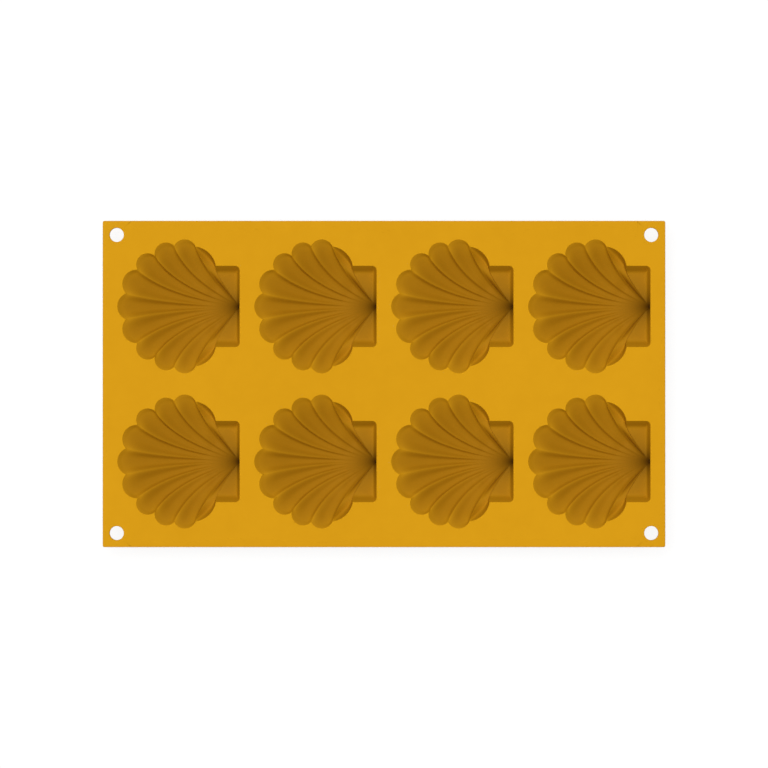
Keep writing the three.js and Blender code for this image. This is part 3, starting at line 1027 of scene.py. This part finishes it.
@dataclass(frozen=True)
class FlexWeb:
    """Narrow strip of sheet between two columns."""

    layout: MouldLayout
    number: int
    bend_steps: int = 13
    side_steps: int = 30
    round_steps: int = 5

    def shape(self) -> Shape:
        """A section with round ends across the sheet, carried along X and closed at both sides.

        Returns:
            The strip's shape, in place.
        """
        layout = self.layout
        width = layout.sheet_width / 2.0
        radius = layout.edge_round
        turn = np.linspace(0.0, math.pi / 2.0, self.round_steps)
        bend = np.stack([width - radius * (1.0 - np.cos(turn)), -radius * (1.0 - np.sin(turn))], axis=-1)
        flat = np.linspace(radius - width, width - radius, self.side_steps)[1:-1]
        level = np.stack([flat, np.zeros_like(flat)], axis=-1)
        upper = np.concatenate([bend * np.array([-1.0, 1.0]), level, bend[::-1]])
        lower = np.stack([upper[:, 0], -layout.sheet_thickness - upper[:, 1]], axis=-1)
        loop = np.concatenate([upper, lower[::-1]])
        middle = layout.web_x(self.number)
        x = np.linspace(middle - layout.web_width / 2.0, middle + layout.web_width / 2.0, self.bend_steps)
        grid = np.empty((len(x), len(loop), 3))
        grid[..., 0] = x[:, None]
        grid[..., 1] = loop[None, :, 0]
        grid[..., 2] = layout.sheet_top + loop[None, :, 1]
        surface = Surface()
        surface.add(grid, Wrap.AROUND)
        for at, turned in ((0, True), (-1, False)):
            halves = np.stack([grid[at, : len(upper)], grid[at, len(upper) :][::-1]])
            surface.add(halves, turned=turned)
        return surface.shape()


class Wire:
    """One output socket of a node, on which operators add Math nodes."""

    def __init__(self, sheet: NodeSheet, socket: bpy.types.NodeSocket) -> None:
        """Keeps the socket and the sheet of nodes that it belongs to."""
        self.sheet = sheet
        self.socket = socket

    def math(self, operation: str, *values: Wire | float) -> Wire:
        """Adds a Math node on these values."""
        inputs = dict(enumerate(values))
        return self.sheet.wire("ShaderNodeMath", {"operation": operation}, inputs)

    def __add__(self, other: Wire | float) -> Wire:
        """Sum of two values."""
        return self.math("ADD", self, other)

    def __radd__(self, other: float) -> Wire:
        """Sum with a plain number in front."""
        return self.math("ADD", other, self)

    def __sub__(self, other: Wire | float) -> Wire:
        """Difference of two values."""
        return self.math("SUBTRACT", self, other)

    def __rsub__(self, other: float) -> Wire:
        """Difference from a plain number."""
        return self.math("SUBTRACT", other, self)

    def __mul__(self, other: Wire | float) -> Wire:
        """Product of two values."""
        return self.math("MULTIPLY", self, other)

    def __rmul__(self, other: float) -> Wire:
        """Product with a plain number in front."""
        return self.math("MULTIPLY", other, self)

    def at_least(self, other: Wire | float) -> Wire:
        """The larger of two values."""
        return self.math("MAXIMUM", self, other)


class NodeSheet:
    """Nodes of one material or world, all made by one method."""

    def __init__(self, tree: bpy.types.NodeTree) -> None:
        """Empties the tree."""
        self.tree = tree
        tree.nodes.clear()

    def node(
        self,
        kind: str,
        settings: dict[str, Any] | None = None,
        inputs: dict[str | int, Any] | None = None,
    ) -> bpy.types.Node:
        """Adds a node.

        Args:
            kind: The node's type.
            settings: Its properties, with "stops" for a ramp's places and colours.
            inputs: Values or wires of its sockets, by name or number.

        Returns:
            The new node.
        """
        made = self.tree.nodes.new(kind)
        for name, value in (settings or {}).items():
            if name == "stops":
                self.set_stops(made, value)
            else:
                setattr(made, name, value)
        for name, value in (inputs or {}).items():
            if isinstance(value, Wire):
                self.tree.links.new(value.socket, made.inputs[name])
            else:
                made.inputs[name].default_value = value
        return made

    @staticmethod
    def set_stops(ramp: bpy.types.Node, stops: list[tuple[float, float]]) -> None:
        """Sets a grey ramp's stops.

        Args:
            ramp: The ramp's node.
            stops: Places and brightnesses, in order.
        """
        elements = ramp.color_ramp.elements
        while len(elements) < len(stops):
            elements.new(1.0)
        for element, (place, grey) in zip(elements, stops):
            element.position = place
            element.color = (grey, grey, grey, 1.0)

    def wire(
        self,
        kind: str,
        settings: dict[str, Any] | None = None,
        inputs: dict[str | int, Any] | None = None,
        output: str | int = 0,
    ) -> Wire:
        """Adds a node and returns one of its outputs.

        Args:
            kind: The node's type.
            settings: Its properties.
            inputs: Values or wires of its sockets.
            output: Name or number of the output.

        Returns:
            The output's wire.
        """
        return Wire(self, self.node(kind, settings, inputs).outputs[output])

    def mixed(self, factor: Wire, first: Wire | Colour, second: Wire | Colour) -> Wire:
        """Mixes two colours.

        Args:
            factor: Share of the second colour.
            first: Colour or wire at factor 0.
            second: Colour or wire at factor 1.

        Returns:
            The mixed colour.
        """
        ends = [end if isinstance(end, Wire) else (*end, 1.0) for end in (first, second)]
        inputs = {0: factor, 6: ends[0], 7: ends[1]}
        return self.wire("ShaderNodeMix", {"data_type": "RGBA"}, inputs, 2)


@dataclass(frozen=True)
class SiliconeFinish:
    """Moulded silicone rubber: semi-matt all over, deeper in colour in the cavities, and darkest at the hinge
    by painted shade.
    """

    sheet_pale: Colour = (0.715, 0.343, 0.0042)
    sheet_deep: Colour = (0.675, 0.318, 0.0030)
    cavity_pale: Colour = (0.420, 0.184, 0.0036)
    cavity_deep: Colour = (0.388, 0.168, 0.0026)
    # Near-black colour of the painted shade in the hinge corner.
    painted_hinge_shade: Colour = (0.035, 0.010, 0.0004)
    sheet_roughness: float = 0.70
    cavity_roughness: float = 0.72
    grain_roughness: float = 0.10
    specular: float = 0.08
    cloud_scale: float = 26.0
    cloud_detail: float = 4.0
    cloud_share: float = 0.6
    bloom_scale: float = 150.0
    bloom_detail: float = 6.0
    tone_from: float = 0.3
    tone_to: float = 0.7
    grain_scale: float = 2400.0
    grain_detail: float = 3.0
    grain_height: float = 0.00005
    grain_strength: float = 0.22
    grain_loss: float = 0.7
    noise_roughness: float = 0.55

    def material(self) -> bpy.types.Material:
        """Clouds and bloom vary the colour, a fine grain the roughness and the surface.

        Returns:
            The silicone's material.
        """
        made = bpy.data.materials.new("amber_silicone")
        made.use_nodes = True
        sheet = NodeSheet(made.node_tree)
        place = sheet.wire("ShaderNodeTexCoord", output="Object")
        marks = ({"attribute_name": POLISH}, {"attribute_name": PAINTED_SHADE})
        polish, shade = (sheet.wire("ShaderNodeAttribute", mark, output="Fac") for mark in marks)
        cloud = self.noise(sheet, place, self.cloud_scale, self.cloud_detail)
        bloom = self.noise(sheet, place, self.bloom_scale, self.bloom_detail)
        grain = self.noise(sheet, place, self.grain_scale, self.grain_detail)
        blotches = self.cloud_share * cloud + (1.0 - self.cloud_share) * bloom
        stops = [(self.tone_from, 0.0), (self.tone_to, 1.0)]
        tone = sheet.wire("ShaderNodeValToRGB", {"stops": stops}, {0: blotches})
        on_sheet = sheet.mixed(tone, self.sheet_deep, self.sheet_pale)
        in_cavity = sheet.mixed(tone, self.cavity_deep, self.cavity_pale)
        change = (self.cavity_roughness - self.sheet_roughness) * polish
        roughness = self.sheet_roughness + change + self.grain_roughness * (grain - 0.5)
        height = grain * (1.0 - self.grain_loss * polish)
        bump = {"Strength": self.grain_strength, "Distance": self.grain_height, "Height": height}
        shader = sheet.wire(
            "ShaderNodeBsdfPrincipled",
            inputs={
                # Painted light in the base colour: the shade mark mixes in painted shade at the hinge corner,
                # and less polish paints the crest highlight and the paler rim.
                "Base Color": sheet.mixed(shade, sheet.mixed(polish, on_sheet, in_cavity), self.painted_hinge_shade),
                "Roughness": roughness,
                "Specular IOR Level": self.specular,
                "Normal": sheet.wire("ShaderNodeBump", inputs=bump),
            },
        )
        sheet.node("ShaderNodeOutputMaterial", inputs={"Surface": shader})
        return made

    def noise(self, sheet: NodeSheet, place: Wire, scale: float, detail: float) -> Wire:
        """Smooth noise about 0.5 over a place."""
        inputs = {"Vector": place, "Scale": scale, "Detail": detail, "Roughness": self.noise_roughness}
        return sheet.wire("ShaderNodeTexNoise", {"noise_dimensions": "3D"}, inputs)


class Lamp(Enum):
    """Lamps of the studio: lean from straight above towards +Y and +X, strength on the level, and width."""

    KEY = (9.0, -9.0, 0.78, 45.0)


@dataclass(frozen=True)
class Studio:
    """Pale floor, soft light and the camera of the photograph."""

    sky: float = 0.22
    floor_half: float = 4.0
    floor_white: Colour = (0.80, 0.80, 0.80)
    seen_white: Colour = (0.16, 0.16, 0.16)
    seen_glow: float = 0.86
    camera_height: float = 1.9
    frame_width: float = 0.4094
    sensor: float = 36.0

    def backdrop_seen(self, sheet: NodeSheet) -> Wire:
        """1 where the backdrop is seen, straight or in a reflection or through a clear thing.

        Args:
            sheet: The nodes to add to.

        Returns:
            The wire of that mask.
        """
        path = sheet.node("ShaderNodeLightPath")
        names = ("Is Camera Ray", "Is Glossy Ray", "Is Transmission Ray")
        camera, glossy, through = (Wire(sheet, path.outputs[name]) for name in names)
        return camera.at_least(glossy).at_least(through)

    def world(self) -> None:
        """Lights the scene evenly from all round, with a white backdrop where it is seen."""
        made = bpy.data.worlds.new("studio_sky")
        made.use_nodes = True
        bpy.context.scene.world = made
        sheet = NodeSheet(made.node_tree)
        path = sheet.wire("ShaderNodeLightPath", output="Is Camera Ray")
        strength = self.sky + (1.0 - self.sky) * path
        white = (1.0, 1.0, 1.0, 1.0)
        light = sheet.wire("ShaderNodeBackground", inputs={"Color": white, "Strength": strength})
        sheet.node("ShaderNodeOutputWorld", inputs={"Surface": light})

    def floor_paint(self) -> bpy.types.Material:
        """Matt white to the light. To the camera it is a little of that white over the white sky behind it.

        Returns:
            The floor's material.
        """
        made = bpy.data.materials.new("pale_floor")
        made.use_nodes = True
        sheet = NodeSheet(made.node_tree)
        matt = sheet.wire("ShaderNodeBsdfDiffuse", inputs={"Color": (*self.floor_white, 1.0)})
        seen = sheet.wire("ShaderNodeBsdfDiffuse", inputs={"Color": (*self.seen_white, 1.0)})
        glow = sheet.wire("ShaderNodeEmission", inputs={"Strength": self.seen_glow})
        clear = sheet.wire("ShaderNodeBsdfTransparent", inputs={"Color": (*[self.seen_glow] * 3, 1.0)})
        straight = sheet.wire("ShaderNodeLightPath", output="Is Camera Ray")
        white = sheet.wire("ShaderNodeMixShader", inputs={0: straight, 1: glow, 2: clear})
        lit = sheet.wire("ShaderNodeAddShader", inputs={0: seen, 1: white})
        mixed = sheet.wire("ShaderNodeMixShader", inputs={0: self.backdrop_seen(sheet), 1: matt, 2: lit})
        sheet.node("ShaderNodeOutputMaterial", inputs={"Surface": mixed})
        return made

    def floor(self) -> bpy.types.Object:
        """Lays a pale floor under the feet, which keeps the shadow.

        The camera sees the white sky through it, so a part that bends down past the feet still shows, and the
        lamps reach that part.

        Returns:
            The floor's object.
        """
        half = self.floor_half / MM
        line = np.array([-half, half])
        grid = np.zeros((2, 2, 3))
        grid[..., 0], grid[..., 1] = line[:, None], line[None]
        surface = Surface()
        surface.add(grid)
        made = surface.shape().piece("studio_floor", (0.0, 0.0, 0.0))
        made.data.materials.append(self.floor_paint())
        made.visible_shadow = False
        return made

    def lamps(self) -> None:
        """Hangs the wide lamps, each as strong on the level sheet as its share says."""
        for lamp in Lamp:
            lean_y, lean_x, share, width = lamp.value
            data = bpy.data.lights.new(f"lamp_{lamp.name.lower()}", "SUN")
            slope = np.array([math.tan(math.radians(lean_x)), math.tan(math.radians(lean_y)), 1.0])
            data.energy = share * math.pi * float(np.linalg.norm(slope))
            data.angle = math.radians(width)
            made = bpy.data.objects.new(data.name, data)
            back = -math.atan2(slope[1], math.hypot(slope[0], 1.0))
            made.rotation_euler = (back, math.atan2(slope[0], 1.0), 0.0)
            bpy.context.scene.collection.objects.link(made)

    def camera(self, layout: MouldLayout) -> None:
        """Sets the camera straight above the middle of the sheet, with +Y up in the picture.

        Args:
            layout: Where the sheet's top lies.
        """
        data = bpy.data.cameras.new("photo_camera")
        data.sensor_width = self.sensor
        data.lens = self.sensor * self.camera_height / self.frame_width
        made = bpy.data.objects.new("photo_camera", data)
        made.location = (0.0, 0.0, layout.sheet_top * MM + self.camera_height)
        bpy.context.scene.collection.objects.link(made)
        bpy.context.scene.camera = made

    def build(self, layout: MouldLayout) -> None:
        """Makes the whole studio.

        Args:
            layout: Where the sheet's top lies.
        """
        self.world()
        self.floor()
        self.lamps()
        self.camera(layout)
        bpy.context.scene.view_settings.view_transform = "Standard"


@dataclass(frozen=True)
class ShellMould:
    """The whole mould: its cups, panels and webs, dressed, with the cups and panels tied to their bodies."""

    frame: dict[str, Any]
    layout: MouldLayout = MouldLayout()
    cup: ShellCup = ShellCup()
    finish: SiliconeFinish = SiliconeFinish()

    def dress(self, piece: bpy.types.Object, silicone: bpy.types.Material, node: str) -> None:
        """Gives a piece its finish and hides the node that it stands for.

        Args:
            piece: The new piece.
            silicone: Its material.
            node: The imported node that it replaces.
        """
        piece.data.materials.append(silicone)
        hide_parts(node)
        LOG.info("%s: %d faces", piece.name, len(piece.data.polygons))

    def travel(self, joint: str) -> float:
        """Longest way of a sliding joint, in metres."""
        return next(each["range_m"][1] for each in self.frame["joints"] if each["name"] == joint)

    def build_cups(self, silicone: bpy.types.Material) -> None:
        """Makes the eight cups, each tied to its cup's body.

        Args:
            silicone: The material.
        """
        layout = self.layout
        shape = self.cup.shape()
        for column, letter in enumerate(layout.columns):
            for row in Row:
                name = f"{letter}_{row.name.lower()}"
                hinge_x, hinge_y = layout.hinge(column, row, self.cup.plan)
                piece = shape.piece(f"cup_skin_{name}", (hinge_x, hinge_y, layout.sheet_top))
                self.dress(piece, silicone, f"shell_cup_{name}")
                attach(piece, f"cup_{name}")
                keep = 1.0 - self.travel(f"push_{name}") / (layout.sheet_top * MM)
                foot = (hinge_x * MM, hinge_y * MM, 0.0)
                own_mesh(piece)

    def build_panels(self, silicone: bpy.types.Material) -> None:
        """Makes the four sheet panels.

        Args:
            silicone: The material.
        """
        for column, letter in enumerate(self.layout.columns):
            shape = SheetPanel(self.layout, self.cup, column).shape()
            piece = shape.piece(f"panel_sheet_{letter}", (0.0, 0.0, 0.0))
            self.dress(piece, silicone, f"sheet_panel_{letter}")
            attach(piece, f"panel_{letter}")

    def build_webs(self, silicone: bpy.types.Material) -> None:
        """Makes the three webs.

        Args:
            silicone: The material.
        """
        layout = self.layout
        for number, (left, right) in enumerate(zip(layout.columns, layout.columns[1:])):
            piece = FlexWeb(layout, number).shape().piece(f"web_strip_{left}{right}", (0.0, 0.0, 0.0))
            self.dress(piece, silicone, f"flex_web_{left}{right}")
            middle, half = layout.web_x(number) * MM, layout.web_width / 2.0 * MM
            height = (layout.sheet_top - layout.sheet_thickness / 2.0) * MM
            start, end = (middle - half, 0.0, height), (middle + half, 0.0, height)
            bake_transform(piece)

    def build(self) -> None:
        """Makes every piece in the silicone's finish."""
        silicone = self.finish.material()
        self.build_cups(silicone)
        self.build_panels(silicone)
        self.build_webs(silicone)


def main() -> None:
    """Loads the frame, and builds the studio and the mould."""
    logging.basicConfig(level=logging.INFO, format="%(message)s")
    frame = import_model()
    mould = ShellMould(frame)
    Studio().build(mould.layout)
    mould.build()


if __name__ == "__main__":
    main()
